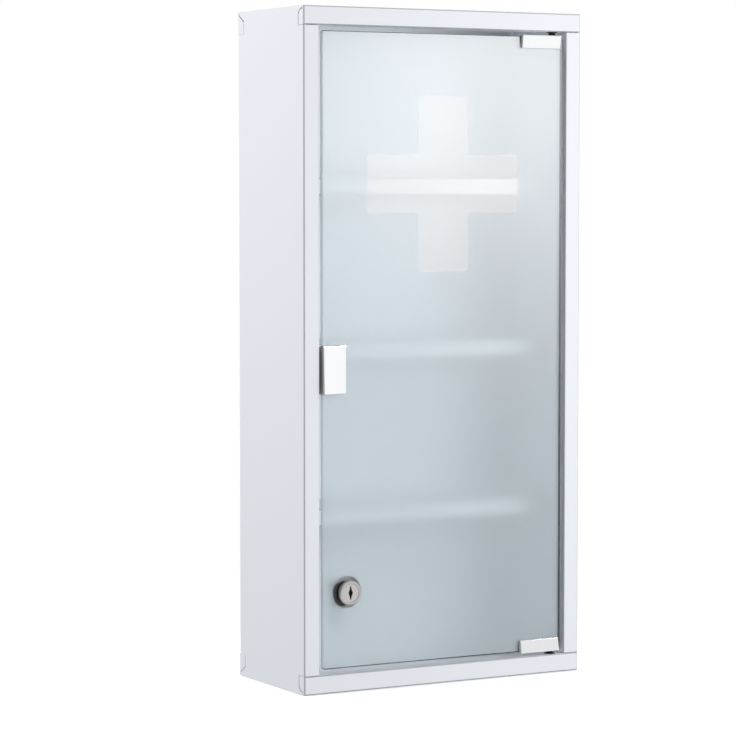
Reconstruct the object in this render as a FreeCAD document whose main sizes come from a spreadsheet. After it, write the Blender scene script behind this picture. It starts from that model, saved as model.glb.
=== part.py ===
# A wall-hung medicine cabinet: a folded sheet-steel case with three shelves, and a glass door that turns
# on two pivot clamps, with a clip handle, a magnetic catch and a cam lock.
# Millimetres. +Z is up, the door faces -Y, +X is to the right. The origin is the middle of the four wall
# holes, on the rear face of the back sheet.
import FreeCAD, Part
import math
import os
import Sketcher
import types
from FreeCAD import Rotation, Vector

SIZES = (
    ("case_width", 270.0, "outside width of the case"),
    ("case_height", 570.0, "outside height of the case"),
    ("case_depth", 120.0, "outside depth of the case, front of the rails to the wall"),
    ("sheet", 0.8, "sheet steel of the case and shelves"),
    ("bend", 1.4, "outer radius of a fold"),
    ("seam", 0.4, "gap where two sheet edges meet"),
    ("stile_width", 14.9, "front face of a side panel"),
    ("rail_height", 15.8, "front face of the top and bottom panels"),
    ("return_depth", 20.0, "depth of the returns behind stiles and rails"),
    ("rear_flange", 12.0, "flange of a side panel behind the case"),
    ("rear_rail", 19.0, "flange of the top and bottom panels behind the case"),
    ("tie_flange", 10.0, "flange of a side panel against the top and bottom panels"),
    ("ear_seam", 0.9, "gap round a corner ear"),
    ("front_ear", 9.0, "depth of a front corner ear"),
    ("front_ear_round", 5.5, "rounded free corner of a front ear"),
    ("rear_ear", 10.0, "depth of a rear corner ear"),
    ("ear_shoulder", 9.0, "start of a rear ear's slope, from the case's end"),
    ("ear_nick", 3.0, "free end of an ear, from the case's end"),
    ("back_inset", 1.0, "edge of the back sheet inside the case's outline"),
    ("wall_hole", 6.0, "diameter of a wall hole"),
    ("wall_hole_side", 35.0, "wall holes from the case's sides"),
    ("wall_hole_end", 35.0, "wall holes from the case's top and bottom"),
    ("shelf_pitch", 140.0, "from one shelf's top face to the next"),
    ("shelf_drop", 140.2, "from the underside of the case's top to the upper shelf"),
    ("shelf_lip", 14.5, "front lip of a shelf"),
    ("shelf_hem", 6.0, "hem turned in under a shelf's lip"),
    ("shelf_flange", 10.0, "end and rear flanges of a shelf"),
    ("shelf_setback", 45.0, "front of a shelf behind the case's front"),
    ("shelf_relief", 3.0, "cut-back of a shelf's end flanges at the corners"),
    ("glass_thickness", 4.0, "door glass"),
    ("glass_setback", 1.0, "front of the glass behind the case's front"),
    ("glass_corner", 2.0, "corner radius of the glass"),
    ("glass_arris", 0.4, "ground arris of the glass edges"),
    ("door_side_gap", 3.0, "gap between the glass and a stile"),
    ("liner", 0.4, "soft liner between a clamp and the glass"),
    ("pivot_inset", 10.8, "pivot axis from the right stile's edge"),
    ("pivot_setback", 5.5, "pivot axis behind the case's front"),
    ("pin_gap", 3.2, "gap between a hinge clamp and its rail"),
    ("pin_diameter", 4.0, "pivot pin"),
    ("pin_collar", 6.4, "collar diameter of a pivot pin"),
    ("running_gap", 0.05, "radial clearance of a turning fit"),
    ("fixing_gap", 0.05, "radial clearance of a fixed pin, bush or screw"),
    ("thrust_gap", 0.4, "gap between faces that turn past each other"),
    ("bush_diameter", 6.4, "sleeve of a pivot bush"),
    ("bush_flange_diameter", 9.0, "flange of a pivot bush"),
    ("bush_flange", 0.8, "thickness of a pivot bush's flange"),
    ("bush_length", 6.0, "sleeve length of a pivot bush, from its flange"),
    ("clamp_inboard", 33.8, "hinge clamp from the pivot axis towards the middle"),
    ("clamp_outboard", 5.2, "hinge clamp from the pivot axis towards the stile"),
    ("clamp_height", 11.4, "height of a hinge clamp"),
    ("clamp_roof", 0.8, "wall of a hinge clamp over the glass edge"),
    ("clamp_nose", 2.9, "front plate of a hinge clamp at the roof"),
    ("clamp_toe", 1.1, "front plate of a hinge clamp at its free edge"),
    ("clamp_rear", 3.0, "rear plate of a hinge clamp"),
    ("clamp_round", 0.8, "rounded edges of the clamps and the handle"),
    ("grub_diameter", 4.0, "grub screw"),
    ("grub_length", 3.2, "length of a grub screw"),
    ("grub_socket", 2.0, "socket of a grub screw, across flats"),
    ("grub_socket_depth", 1.6, "depth of a grub screw's socket"),
    ("grub_spacing", 20.0, "spacing of the grub screws in a clamp or the handle"),
    ("handle_height", 270.0, "middle of the handle above the case's floor"),
    ("handle_length", 40.0, "handle clip, end to end"),
    ("handle_width", 23.0, "front plate of the handle clip"),
    ("handle_wall", 1.0, "edge wall of the handle clip"),
    ("handle_pull_top", 4.1, "front plate at the pull edge, upper end"),
    ("handle_pull_foot", 5.5, "front plate at the pull edge, lower end"),
    ("handle_toe", 1.2, "front plate at the edge towards the middle"),
    ("handle_rear_width", 19.0, "rear plate of the handle clip"),
    ("handle_rear", 2.0, "thickness of the rear plate"),
    ("catch_gap", 0.6, "catch housing from the handle's rear plate"),
    ("catch_width", 12.0, "catch housing, out from the return lip"),
    ("catch_depth", 10.5, "catch housing, front to rear"),
    ("catch_height", 32.0, "catch housing, end to end"),
    ("catch_screw_spacing", 25.0, "screws of the catch"),
    ("catch_screw_diameter", 3.0, "screws of the catch"),
    ("catch_screw_bite", 8.0, "length of a catch screw in the housing"),
    ("catch_screw_head", 5.2, "head diameter of a catch screw"),
    ("catch_screw_head_height", 1.8, "head height of a catch screw"),
    ("magnet_width", 5.0, "magnet between its pole plates"),
    ("magnet_height", 18.0, "magnet and pole plates, end to end"),
    ("magnet_depth", 7.0, "magnet, front to rear"),
    ("pole_plate", 1.0, "steel pole plate"),
    ("pole_proud", 0.2, "pole plates in front of the housing"),
    ("lock_inset", 42.3, "lock axis from the case's left side"),
    ("lock_height", 83.5, "lock axis above the case's floor"),
    ("lock_hole", 18.6, "hole in the glass"),
    ("lock_head", 20.8, "head diameter of the lock"),
    ("lock_head_height", 4.2, "head of the lock, from the glass"),
    ("lock_head_bevel", 1.0, "bevel round the lock's head"),
    ("lock_rim", 1.3, "flat rim between the bevel and the dished face"),
    ("lock_dish", 0.5, "depth of the dished face"),
    ("lock_gasket", 0.5, "gasket under the lock's head"),
    ("lock_barrel", 17.8, "barrel diameter of the lock"),
    ("lock_flats", 15.8, "barrel across its two flats"),
    ("lock_washer", 1.0, "washer behind the glass"),
    ("lock_washer_diameter", 27.0, "washer behind the glass"),
    ("lock_nut_flats", 24.0, "nut across its flats"),
    ("lock_nut", 4.5, "nut height"),
    ("plug_diameter", 12.4, "turning core of the lock"),
    ("plug_head", 15.0, "face of the turning core"),
    ("plug_head_depth", 2.6, "seat of the core's face in the head"),
    ("plug_tail", 8.0, "square tail of the core"),
    ("key_slot_height", 11.0, "keyway, end to end"),
    ("key_slot_width", 1.3, "keyway at its ends"),
    ("key_slot_waist", 4.2, "keyway at its middle"),
    ("key_slot_taper", 8.0, "height of the keyway's wide middle"),
    ("key_slot_depth", 14.0, "depth of the keyway"),
    ("cam_clearance", 2.2, "cam behind the return lip"),
    ("cam_thickness", 2.0, "cam plate"),
    ("cam_length", 32.0, "cam from the lock axis to its tip"),
    ("cam_width", 12.0, "cam arm"),
    ("cam_boss", 17.0, "round end of the cam"),
    ("cam_tip_round", 3.0, "rounded corners of the cam's tip"),
    ("cam_washer", 1.0, "washer under the cam's screw"),
    ("cam_washer_diameter", 13.0, "washer under the cam's screw"),
    ("cam_screw", 5.0, "screw that holds the cam"),
    ("cam_screw_head", 8.0, "hexagon head, across flats"),
    ("cam_screw_head_height", 3.5, "hexagon head"),
    ("cam_screw_bite", 7.0, "length of the cam's screw in the core"),
)

AXIS = {"x": Vector(1, 0, 0), "y": Vector(0, 1, 0), "z": Vector(0, 0, 1)}
TURN_Z_TO_Y = Rotation(Vector(1, 0, 0), -90)
TURN_Z_TO_X = Rotation(Vector(0, 1, 0), 90)
# Places that agree to within this are the same place.
NEAR = 1e-4
# A hexagon's corner distance from its centre, as a share of its width across flats.
HEXAGON_CORNER = 1 / math.sqrt(3)


class Size:
    """A length that keeps its value beside the sheet expression that it is bound by."""

    def __init__(self, value, text):
        self.value = float(value)
        self.text = text

    def __add__(self, other):
        other = as_size(other)
        return Size(self.value + other.value, f"({self.text} + {other.text})")

    def __sub__(self, other):
        other = as_size(other)
        return Size(self.value - other.value, f"({self.text} - {other.text})")

    def __mul__(self, factor):
        return Size(self.value * factor, f"({self.text} * {factor})")

    def __truediv__(self, divisor):
        return Size(self.value / divisor, f"({self.text} / {divisor})")

    def __neg__(self):
        return Size(-self.value, f"(0 - {self.text})")


def as_size(number):
    """A plain number as a Size; a Size stays as it is."""
    return number if isinstance(number, Size) else Size(number, str(number))


def make_sheet(document):
    """Fill the spreadsheet with the driving dimensions, one alias each."""
    sheet = document.addObject("Spreadsheet::Sheet", "Sizes")
    for row, (alias, value, note) in enumerate(SIZES, start=1):
        sheet.set(f"A{row}", note)
        sheet.set(f"B{row}", str(value))
        sheet.setAlias(f"B{row}", alias)
    document.recompute()
    return types.SimpleNamespace(**{alias: Size(value, f"Sizes.{alias}") for alias, value, _ in SIZES})


doc = FreeCAD.newDocument("MedicineCabinet")
s = make_sheet(doc)
parts = []

# Places that several pieces share
zero = as_size(0)
front = -s.case_depth
rear = -s.sheet
half_width = s.case_width / 2
half_height = s.case_height / 2
rail_edge = half_height - s.rail_height
rear_rail_edge = half_height - s.rear_rail
stile_edge = half_width - s.stile_width
wall_inside = half_width - s.sheet
lip_end = front + s.return_depth
fold_room = front + s.bend + s.sheet
ear_end = half_height - s.ear_nick
glass_front = front + s.glass_setback
glass_back = glass_front + s.glass_thickness
glass_middle = glass_front + s.glass_thickness / 2
glass_edge = stile_edge - s.door_side_gap
clamp_top = rail_edge - s.pin_gap
clamp_slot_top = clamp_top - s.clamp_roof
clamp_low = clamp_top - s.clamp_height
glass_top = clamp_slot_top - s.liner
slot_front = glass_front - s.liner
slot_back = glass_back + s.liner
pivot_x = stile_edge - s.pivot_inset
pivot_y = front + s.pivot_setback
handle_z = s.handle_height - half_height
handle_edge = -glass_edge - s.liner - s.handle_wall
handle_back = slot_back + s.handle_rear
catch_front = handle_back + s.catch_gap
catch_edge = s.catch_width - stile_edge
catch_screw_y = catch_front + s.catch_depth / 2
lock_x = s.lock_inset - half_width
lock_z = s.lock_height - half_height

# Places along the lock's axis, measured back from the front of the glass
cam_front = s.return_depth - s.glass_setback + s.cam_clearance
barrel_end = cam_front - s.thrust_gap
face_seat = s.plug_head_depth - s.lock_head_height
cam_back = cam_front + s.cam_thickness


def bind(thing, name, size):
    """Tie a property to the sheet."""
    thing.setExpression(name, as_size(size).text)


def new_body(label):
    """A sub-part made of sketches and features."""
    body = doc.addObject("PartDesign::Body", label)
    body.Label = label
    parts.append(body)
    return body


def place(thing, x, y, z):
    """Tie where a sub-part stands to the sheet."""
    for name, size in (("x", x), ("y", y), ("z", z)):
        bind(thing, f"Placement.Base.{name}", size)


def new_sketch(body, name, plane, offset=zero):
    """A sketch on one of the body's origin planes, moved along that plane's normal."""
    sketch = body.newObject("Sketcher::SketchObject", f"{body.Label}_{name}")
    support = [item for item in body.Origin.OriginFeatures if item.Role == plane]
    sketch.AttachmentSupport = [(support[0], "")]
    sketch.MapMode = "FlatFace"
    bind(sketch, "AttachmentOffset.Base.z", offset)
    return sketch


def hold(sketch, kind, geometry, point, size):
    """Bind one coordinate of a sketch point to the sheet."""
    number = sketch.addConstraint(Sketcher.Constraint(kind, -1, 1, geometry, point, size.value))
    sketch.setExpression(f"Constraints[{number}]", size.text)


def outline(sketch, corners):
    """A closed outline of straight edges, with both coordinates of each corner bound."""
    first = sketch.GeometryCount
    corners = [(as_size(across), as_size(up)) for across, up in corners]
    points = [Vector(across.value, up.value, 0) for across, up in corners]
    for start, end in zip(points, points[1:] + points[:1]):
        sketch.addGeometry(Part.LineSegment(start, end), False)
    for step, (across, up) in enumerate(corners):
        following = first + (step + 1) % len(corners)
        sketch.addConstraint(Sketcher.Constraint("Coincident", first + step, 2, following, 1))
        hold(sketch, "DistanceX", first + step, 1, across)
        hold(sketch, "DistanceY", first + step, 1, up)


def rectangle(sketch, low_across, low_up, high_across, high_up):
    """A rectangle between two corners."""
    outline(sketch, [(low_across, low_up), (high_across, low_up), (high_across, high_up), (low_across, high_up)])


def circle(sketch, across, up, diameter):
    """A circle with its centre and diameter bound."""
    across = as_size(across)
    up = as_size(up)
    shape = Part.Circle(Vector(across.value, up.value, 0), AXIS["z"], diameter.value / 2)
    geometry = sketch.addGeometry(shape, False)
    hold(sketch, "DistanceX", geometry, 3, across)
    hold(sketch, "DistanceY", geometry, 3, up)
    number = sketch.addConstraint(Sketcher.Constraint("Diameter", geometry, diameter.value))
    sketch.setExpression(f"Constraints[{number}]", diameter.text)


def hexagon(sketch, across_flats):
    """A hexagon about the sketch's origin."""
    reach = across_flats * HEXAGON_CORNER
    angles = [math.radians(60 * step) for step in range(6)]
    outline(sketch, [(reach * math.cos(angle), reach * math.sin(angle)) for angle in angles])


def finish_feature(body, feature):
    """Make a feature the body's last one."""
    body.Tip = feature
    doc.recompute()
    return feature


def pad(body, sketch, length, symmetric=True):
    """Raise a sketch, to both sides of its plane or along its normal."""
    feature = body.newObject("PartDesign::Pad", f"{sketch.Name}_pad")
    feature.Profile = sketch
    feature.SideType = "Symmetric" if symmetric else "One side"
    bind(feature, "Length", length)
    return finish_feature(body, feature)


def pocket(body, sketch, length):
    """Cut a sketch out, half of the length to each side of its plane."""
    before = body.Tip.Shape.Volume
    feature = body.newObject("PartDesign::Pocket", f"{sketch.Name}_pocket")
    feature.Profile = sketch
    feature.Type = "Length"
    feature.SideType = "Symmetric"
    bind(feature, "Length", length)
    finish_feature(body, feature)
    if feature.Shape.Volume >= before:
        raise RuntimeError(f"{sketch.Name} cuts nothing")
    return feature


def revolve(body, sketch):
    """Turn a sketch a full turn about its own upright axis."""
    feature = body.newObject("PartDesign::Revolution", f"{sketch.Name}_turned")
    feature.Profile = sketch
    feature.ReferenceAxis = (sketch, ["V_Axis"])
    feature.Angle = 360
    return finish_feature(body, feature)


def straight_edges(body, axis, **where):
    """Names of the straight edges that run along an axis with their middles at a place."""
    names = []
    for number, edge in enumerate(body.Tip.Shape.Edges, start=1):
        run = edge.lastVertex().Point - edge.firstVertex().Point
        if abs(abs(run.dot(AXIS[axis])) - edge.Length) > NEAR:
            continue
        middle = edge.CenterOfMass
        if all(abs(getattr(middle, key) - size.value) < NEAR for key, size in where.items()):
            names.append(f"Edge{number}")
    return names


def front_face_edges(body):
    """Names of the edges round the face that lies furthest to the front."""
    shape = body.Tip.Shape
    face = min(shape.Faces, key=lambda item: item.CenterOfMass.y)
    return [f"Edge{number}" for number, edge in enumerate(shape.Edges, start=1)
            if any(edge.isSame(other) for other in face.Edges)]


def soften(body, kind, names, size):
    """Round or bevel named edges of the body's last feature."""
    if not names:
        raise RuntimeError(f"{body.Label} has no edge to soften")
    base = body.Tip
    feature = body.newObject(f"PartDesign::{kind}", f"{body.Label}_{kind.lower()}")
    feature.Base = (base, names)
    bind(feature, "Radius" if kind == "Fillet" else "Size", size)
    return finish_feature(body, feature)


def mirrored(source, label, normal):
    """A sub-part that is another one's mirror image through the origin."""
    copy = doc.addObject("Part::Mirroring", label)
    copy.Label = label
    copy.Source = source
    copy.Normal = normal
    parts.append(copy)
    return copy


def group(label, members):
    """Like pieces that share one name, as separate solids."""
    compound = doc.addObject("Part::Compound", label)
    compound.Label = label
    compound.Links = members
    parts.append(compound)
    return compound


def side_panel(label, side):
    """A side of the case: the plate with its corner notches, the front stile with its deep return lip,
    the rear flange, and flanges that lie against the top and bottom panels."""
    body = new_body(label)
    stile_end = rail_edge - s.seam
    flange_end = rear_rail_edge - s.seam
    plate_end = half_height - s.sheet
    inner_rear = rear - s.sheet
    notch = rear - s.rear_ear - s.ear_seam
    front_notch = front + s.front_ear + s.ear_seam
    notch_end = ear_end + s.ear_seam
    upper = [
        (front, stile_end),
        (front_notch, stile_end),
        (front_notch, notch_end),
        (fold_room + s.ear_seam, notch_end),
        (fold_room + s.ear_seam, plate_end),
        (inner_rear - s.seam, plate_end),
        (inner_rear - s.seam, notch_end),
        (notch, half_height - s.ear_shoulder + s.ear_seam),
        (notch, flange_end),
        (rear, flange_end),
    ]
    lower = [(along, -up) for along, up in reversed(upper)]
    plate = new_sketch(body, "plate", "YZ_Plane", (half_width - s.sheet / 2) * side)
    outline(plate, upper + lower)
    pad(body, plate, s.sheet)
    hollows = straight_edges(body, "x", y=front_notch, z=notch_end)
    hollows += straight_edges(body, "x", y=front_notch, z=-notch_end)
    soften(body, "Fillet", hollows, s.front_ear_round + s.ear_seam)

    outer = half_width * side
    lip = stile_edge * side
    lip_inside = (stile_edge + s.sheet) * side
    stile = new_sketch(body, "stile", "XY_Plane")
    outline(stile, [
        (outer, front),
        (lip, front),
        (lip, lip_end),
        (lip_inside, lip_end),
        (lip_inside, front + s.sheet),
        (outer, front + s.sheet),
    ])
    pad(body, stile, stile_end * 2)

    flange = new_sketch(body, "rear_flange", "XY_Plane")
    rectangle(flange, outer, inner_rear, (half_width - s.rear_flange) * side, rear)
    pad(body, flange, flange_end * 2)

    for name, up in (("top_flange", 1), ("bottom_flange", -1)):
        tie = new_sketch(body, name, "XY_Plane", (plate_end - s.sheet / 2) * up)
        rectangle(tie, outer, lip_end + s.seam, (half_width - s.tie_flange) * side, notch)
        pad(body, tie, s.sheet)

    inside = (half_width - s.sheet) * side
    folds = straight_edges(body, "z", x=outer, y=front)
    folds += straight_edges(body, "z", x=lip, y=front)
    folds += straight_edges(body, "z", x=outer, y=rear)
    soften(body, "Fillet", folds, s.bend)
    creases = straight_edges(body, "z", x=inside, y=front + s.sheet)
    creases += straight_edges(body, "z", x=lip_inside, y=front + s.sheet)
    creases += straight_edges(body, "z", x=inside, y=inner_rear)
    soften(body, "Fillet", creases, s.bend - s.sheet)
    return body


def drill_catch_holes(body):
    """Two screw holes in the left return lip, behind the handle."""
    holes = new_sketch(body, "catch_holes", "YZ_Plane", s.sheet / -2 - stile_edge)
    for up in (-1, 1):
        circle(holes, catch_screw_y, handle_z + s.catch_screw_spacing / 2 * up,
               s.catch_screw_diameter + s.fixing_gap * 2)
    pocket(body, holes, s.sheet * 2)


def top_panel():
    """The top of the case: plate, front rail with its return, rear flange, and an ear round each corner."""
    body = new_body("top_panel")
    section = new_sketch(body, "section", "YZ_Plane")
    outline(section, [
        (front, rail_edge),
        (front, half_height),
        (rear, half_height),
        (rear, rear_rail_edge),
        (rear - s.sheet, rear_rail_edge),
        (rear - s.sheet, half_height - s.sheet),
        (front + s.sheet, half_height - s.sheet),
        (front + s.sheet, rail_edge),
    ])
    pad(body, section, s.case_width)

    inside = wall_inside - s.seam
    inset = new_sketch(body, "return", "XY_Plane", rail_edge + s.sheet / 2)
    outline(inset, [
        (-half_width, front),
        (half_width, front),
        (half_width, fold_room),
        (inside, fold_room),
        (inside, lip_end),
        (-inside, lip_end),
        (-inside, fold_room),
        (-half_width, fold_room),
    ])
    pad(body, inset, s.sheet)

    for name, side in (("left", -1), ("right", 1)):
        middle = (half_width - s.sheet / 2) * side
        front_ear = new_sketch(body, f"{name}_front_ear", "YZ_Plane", middle)
        outline(front_ear, [
            (front, rail_edge),
            (front + s.front_ear, rail_edge),
            (front + s.front_ear, ear_end),
            (fold_room, ear_end),
            (fold_room, half_height),
            (front, half_height),
        ])
        pad(body, front_ear, s.sheet)
        rear_ear = new_sketch(body, f"{name}_rear_ear", "YZ_Plane", middle)
        outline(rear_ear, [
            (rear, rear_rail_edge),
            (rear - s.rear_ear, rear_rail_edge),
            (rear - s.rear_ear, half_height - s.ear_shoulder),
            (rear - s.sheet, ear_end),
            (rear, ear_end),
        ])
        pad(body, rear_ear, s.sheet)

    soften(body, "Fillet", straight_edges(body, "x", y=front + s.front_ear, z=ear_end), s.front_ear_round)

    bush_hole = new_sketch(body, "bush_hole", "XY_Plane", rail_edge + s.sheet / 2)
    circle(bush_hole, pivot_x, pivot_y, s.bush_diameter + s.fixing_gap * 2)
    pocket(body, bush_hole, s.sheet * 2)

    folds = straight_edges(body, "x", y=front, z=half_height)
    folds += straight_edges(body, "x", y=front, z=rail_edge)
    folds += straight_edges(body, "x", y=rear, z=half_height)
    for side in (-1, 1):
        folds += straight_edges(body, "z", x=half_width * side, y=front)
    soften(body, "Fillet", folds, s.bend)
    return body


def back_panel():
    """The flat back sheet with its four wall holes."""
    body = new_body("back_panel")
    across = half_width - s.back_inset
    up = half_height - s.back_inset
    hole_across = half_width - s.wall_hole_side
    hole_up = half_height - s.wall_hole_end
    sheet = new_sketch(body, "sheet", "XZ_Plane", s.sheet / 2)
    rectangle(sheet, -across, -up, across, up)
    pad(body, sheet, s.sheet)
    holes = new_sketch(body, "wall_holes", "XZ_Plane", s.sheet / 2)
    for side in (-1, 1):
        for end in (-1, 1):
            circle(holes, hole_across * side, hole_up * end, s.wall_hole)
    pocket(body, holes, s.sheet * 2)
    return body


def shelf(label, level):
    """A shelf: plate, front lip with a turned-in hem, rear flange and end flanges welded to the sides."""
    body = new_body(label)
    nose = front + s.shelf_setback
    tail = rear - s.sheet
    lip_foot = level - s.shelf_lip
    section = new_sketch(body, "section", "YZ_Plane")
    outline(section, [
        (nose, level),
        (tail, level),
        (tail, level - s.shelf_flange),
        (tail - s.sheet, level - s.shelf_flange),
        (tail - s.sheet, level - s.sheet),
        (nose + s.sheet, level - s.sheet),
        (nose + s.sheet, lip_foot + s.sheet),
        (nose + s.shelf_hem, lip_foot + s.sheet),
        (nose + s.shelf_hem, lip_foot),
        (nose, lip_foot),
    ])
    pad(body, section, wall_inside * 2)
    for name, side in (("left_flange", -1), ("right_flange", 1)):
        flange = new_sketch(body, name, "YZ_Plane", (wall_inside - s.sheet / 2) * side)
        rectangle(flange, nose + s.shelf_hem + s.shelf_relief, level - s.shelf_flange,
                  tail - s.sheet - s.shelf_relief, level)
        pad(body, flange, s.sheet)
    folds = straight_edges(body, "x", y=nose, z=level) + straight_edges(body, "x", y=nose, z=lip_foot)
    soften(body, "Fillet", folds, s.bend)
    return body


def pivot_bush():
    """A flanged bush in the top panel's return, its flange under the sheet."""
    body = new_body("top_pivot_bush")
    profile = new_sketch(body, "profile", "XZ_Plane")
    bore = s.pin_diameter / 2 + s.running_gap
    outline(profile, [
        (bore, -s.bush_flange),
        (s.bush_flange_diameter / 2, -s.bush_flange),
        (s.bush_flange_diameter / 2, 0),
        (s.bush_diameter / 2, 0),
        (s.bush_diameter / 2, s.bush_length),
        (bore, s.bush_length),
    ])
    revolve(body, profile)
    place(body, pivot_x, pivot_y, rail_edge)
    return body


def pivot_pin():
    """A pivot pin: a stem in the clamp's roof, a collar on it and a spindle up into the bush."""
    body = new_body("top_pivot_pin")
    profile = new_sketch(body, "profile", "XZ_Plane")
    pin = s.pin_diameter / 2
    collar_top = s.pin_gap - s.bush_flange - s.thrust_gap
    tip = s.pin_gap + s.bush_length
    taper = s.pin_diameter / 8
    outline(profile, [
        (0, -s.clamp_roof),
        (pin, -s.clamp_roof),
        (pin, 0),
        (s.pin_collar / 2, 0),
        (s.pin_collar / 2, collar_top),
        (pin, collar_top),
        (pin, tip - taper),
        (pin - taper, tip),
        (0, tip),
    ])
    revolve(body, profile)
    place(body, pivot_x, pivot_y, clamp_top)
    return body


def hinge_clamp():
    """A hinge clamp over the top edge of the glass: a wedge-shaped front plate, a roof that carries the
    pivot pin, and a rear plate tapped for grub screws."""
    body = new_body("top_hinge_clamp")
    length = s.clamp_inboard + s.clamp_outboard
    middle = pivot_x + (s.clamp_outboard - s.clamp_inboard) / 2
    nose = slot_front - s.clamp_nose
    heel = slot_back + s.clamp_rear
    section = new_sketch(body, "section", "YZ_Plane", middle)
    outline(section, [
        (slot_front - s.clamp_toe, clamp_low),
        (nose, clamp_top),
        (heel, clamp_top),
        (heel, clamp_low),
        (slot_back, clamp_low),
        (slot_back, clamp_slot_top),
        (slot_front, clamp_slot_top),
        (slot_front, clamp_low),
    ])
    pad(body, section, length)

    pin_hole = new_sketch(body, "pin_hole", "XY_Plane", clamp_top - s.clamp_roof / 2)
    circle(pin_hole, pivot_x, pivot_y, s.pin_diameter + s.fixing_gap * 2)
    pocket(body, pin_hole, s.clamp_roof * 2)
    grub_holes = new_sketch(body, "grub_holes", "XZ_Plane", s.clamp_rear / -2 - slot_back)
    for x, z in clamp_grub_places():
        circle(grub_holes, x, z, s.grub_diameter + s.fixing_gap * 2)
    pocket(body, grub_holes, s.clamp_rear * 1.5)

    soften(body, "Fillet", front_face_edges(body), s.clamp_round)
    soften(body, "Fillet", straight_edges(body, "x", y=heel, z=clamp_top), s.clamp_round)
    return body


def clamp_grub_places():
    """Centres of the grub screws in the top hinge clamp."""
    middle = pivot_x + (s.clamp_outboard - s.clamp_inboard) / 2
    height = clamp_low + (s.clamp_height - s.clamp_roof) / 2
    return [(middle + s.grub_spacing / 2 * side, height) for side in (-1, 1)]


def hinge_liner():
    """The soft liner between a hinge clamp and the glass."""
    body = new_body("top_hinge_liner")
    length = s.clamp_inboard + s.clamp_outboard
    section = new_sketch(body, "section", "YZ_Plane", pivot_x + (s.clamp_outboard - s.clamp_inboard) / 2)
    outline(section, [
        (slot_front, clamp_low),
        (slot_front, clamp_slot_top),
        (slot_back, clamp_slot_top),
        (slot_back, clamp_low),
        (glass_back, clamp_low),
        (glass_back, glass_top),
        (glass_front, glass_top),
        (glass_front, clamp_low),
    ])
    pad(body, section, length)
    return body


def grub_screw(name, x, y, z):
    """A socketed grub screw along Y, from the liner out towards the rear."""
    stem = doc.addObject("Part::Cylinder", f"{name}_stem")
    bind(stem, "Radius", s.grub_diameter / 2)
    bind(stem, "Height", s.grub_length)
    stem.Placement.Rotation = TURN_Z_TO_Y
    place(stem, x, y, z)
    socket = doc.addObject("Part::Prism", f"{name}_socket")
    socket.Polygon = 6
    bind(socket, "Circumradius", s.grub_socket * HEXAGON_CORNER)
    bind(socket, "Height", s.grub_socket_depth * 2)
    socket.Placement.Rotation = TURN_Z_TO_Y
    place(socket, x, y + s.grub_length - s.grub_socket_depth, z)
    screw = doc.addObject("Part::Cut", name)
    screw.Base = stem
    screw.Tool = socket
    return screw


def door_glass():
    """The door's glass, with rounded corners, ground edges and the lock's hole."""
    body = new_body("door_glass")
    pane = new_sketch(body, "pane", "XZ_Plane", -glass_middle)
    rectangle(pane, -glass_edge, -glass_top, glass_edge, glass_top)
    pad(body, pane, s.glass_thickness)
    corners = []
    for side in (-1, 1):
        corners += straight_edges(body, "y", x=glass_edge * side)
    soften(body, "Fillet", corners, s.glass_corner)
    arrises = straight_edges(body, "z", x=glass_edge, y=glass_front)
    arrises += straight_edges(body, "z", x=glass_edge, y=glass_back)
    soften(body, "Chamfer", arrises, s.glass_arris)
    hole = new_sketch(body, "lock_hole", "XZ_Plane", -glass_middle)
    circle(hole, lock_x, lock_z, s.lock_hole)
    pocket(body, hole, s.glass_thickness * 1.5)
    return body


def handle_section(body, name, level, pull):
    """One end of the handle clip: pull is how far the front plate stands out at the pull edge."""
    section = new_sketch(body, name, "XY_Plane", level)
    toe = handle_edge + s.handle_width
    rear_toe = handle_edge + s.handle_rear_width
    slot_edge = handle_edge + s.handle_wall
    outline(section, [
        (handle_edge, slot_front - pull),
        (toe, slot_front - s.handle_toe),
        (toe, slot_front),
        (slot_edge, slot_front),
        (slot_edge, slot_back),
        (rear_toe, slot_back),
        (rear_toe, handle_back),
        (handle_edge, handle_back),
    ])
    return section


def handle_clip():
    """The clip handle: a folded clip over the free edge of the glass, whose front plate stands out towards
    the pull edge, and further at its foot."""
    body = new_body("handle_clip")
    half = s.handle_length / 2
    foot = handle_section(body, "foot", handle_z - half, s.handle_pull_foot)
    head = handle_section(body, "head", handle_z + half, s.handle_pull_top)
    loft = body.newObject("PartDesign::AdditiveLoft", "handle_clip_loft")
    loft.Profile = foot
    loft.Sections = [head]
    loft.Ruled = True
    finish_feature(body, loft)
    grub_holes = new_sketch(body, "grub_holes", "XZ_Plane", s.handle_rear / -2 - slot_back)
    for x, z in handle_grub_places():
        circle(grub_holes, x, z, s.grub_diameter + s.fixing_gap * 2)
    pocket(body, grub_holes, s.handle_rear * 1.5)
    soften(body, "Fillet", front_face_edges(body), s.clamp_round)
    soften(body, "Fillet", straight_edges(body, "z", x=handle_edge, y=handle_back), s.clamp_round)
    return body


def handle_grub_places():
    """Centres of the grub screws in the handle clip, clear of the catch."""
    x = handle_edge + s.handle_rear_width - s.grub_diameter
    return [(x, handle_z + s.grub_spacing / 2 * end) for end in (-1, 1)]


def handle_liner():
    """The soft liner between the handle clip and the glass."""
    body = new_body("handle_liner")
    section = new_sketch(body, "section", "XY_Plane", handle_z)
    slot_edge = handle_edge + s.handle_wall
    toe = handle_edge + s.handle_width
    rear_toe = handle_edge + s.handle_rear_width
    outline(section, [
        (slot_edge, slot_front),
        (toe, slot_front),
        (toe, glass_front),
        (-glass_edge, glass_front),
        (-glass_edge, glass_back),
        (rear_toe, glass_back),
        (rear_toe, slot_back),
        (slot_edge, slot_back),
    ])
    pad(body, section, s.handle_length)
    return body


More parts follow.
